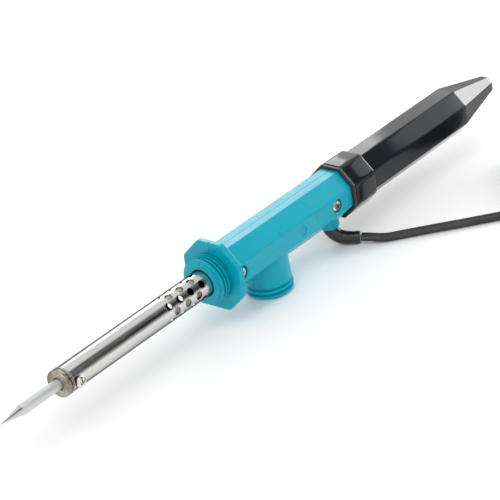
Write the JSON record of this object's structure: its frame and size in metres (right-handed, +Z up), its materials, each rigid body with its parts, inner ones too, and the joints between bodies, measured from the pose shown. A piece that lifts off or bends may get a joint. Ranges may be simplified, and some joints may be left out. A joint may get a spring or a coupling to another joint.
{
  "type": "soldering iron",
  "caption": "Mains soldering iron with a vented heater tube, a turquoise tee-shaped handle and a black screw-on grip, standing on its side boss with its cord coiled.",
  "frame": {"origin": "on the table, under the middle of the iron's length, without its cord; the tool axis is 25.2 mm above it", "axes": "+X along the iron, from the bit to the grip; +Z up, away from the side boss that it stands on; the case screws face -Y"},
  "size_m": [0.4318, 0.134, 0.0418],
  "materials": {
    "turquoise_case": "satin moulded plastic with a fine parting line",
    "black_grip": "polished black plastic",
    "black_rubber": "satin black rubber",
    "cord_pvc": "glossy black soft sheath",
    "stainless_tube": "bright drawn stainless with light scratches",
    "nose_metal": "turned steel, tinted by heat",
    "bit_plating": "satin whitish plating with a bright cone",
    "zinc_screw": "bright zinc plating",
    "washer_steel": "blackened spring steel",
    "ceramic": "unglazed ceramic",
    "nichrome": "oxidised resistance wire",
    "mica": "pale layered mica",
    "tinned_copper": "tinned copper",
    "glass_sleeving": "woven glass-fibre sleeving",
    "core_insulation": "white core insulation",
    "nickel_blade": "nickel plating"
  },
  "bodies": {
    "handle": {"nose_bush": "nose_metal", "heater_tube": "stainless_tube", "heater_core": "ceramic", "heater_winding": "nichrome", "mica_wrap": "mica", "mica_disc": "mica", "ceramic_bead_a": "ceramic", "ceramic_bead_b": "ceramic", "heater_lead_a": "nichrome", "heater_lead_b": "nichrome", "crimp_a": "tinned_copper", "crimp_b": "tinned_copper", "crimp_sleeve_a": "glass_sleeving", "crimp_sleeve_b": "glass_sleeving", "core_wire_a": "core_insulation", "core_wire_b": "core_insulation", "cord_tail": "cord_pvc", "right_case": "turquoise_case", "left_case": "turquoise_case", "front_case_screw": "zinc_screw", "rear_case_screw": "zinc_screw", "strain_relief": "black_rubber", "cord": "cord_pvc", "cord_coil": "cord_pvc", "cord_tie": "black_rubber", "plug_body": "black_rubber", "plug_blade_a": "nickel_blade", "plug_blade_b": "nickel_blade"},
    "bit": {"bit": "bit_plating"},
    "screw_washer": {"lock_washer": "washer_steel"},
    "set_screw": {"bit_set_screw": "zinc_screw"},
    "grip_ring": {"grip_seal": "black_rubber"},
    "grip": {"grip_collar": "black_grip", "grip_tube": "black_grip"}
  },
  "joints": [
    {"name": "bit_slide", "type": "slide", "parent": "handle", "child": "bit", "axis": [-1, 0, 0], "range_m": [0, 0.07]},
    {"name": "set_screw_lift", "type": "slide", "parent": "handle", "child": "screw_washer", "axis": [0, -1, 0], "range_m": [0, 0.002]},
    {"name": "set_screw_turn", "type": "hinge", "parent": "screw_washer", "child": "set_screw", "pos_m": [-0.13505, 0, 0.0252], "axis": [0, -1, 0], "range_deg": [0, 1440]},
    {"name": "grip_draw", "type": "slide", "parent": "handle", "child": "grip_ring", "axis": [1, 0, 0], "range_m": [0, 0.0104]},
    {"name": "grip_turn", "type": "hinge", "parent": "grip_ring", "child": "grip", "pos_m": [0.06015, 0, 0.0252], "axis": [1, 0, 0], "range_deg": [0, 1440]}
  ],
  "couplings": [
    {"joint": "set_screw_turn", "follows": "set_screw_lift", "rad_per_m": 12566},
    {"joint": "grip_turn", "follows": "grip_draw", "rad_per_m": 2416.6}
  ]
}
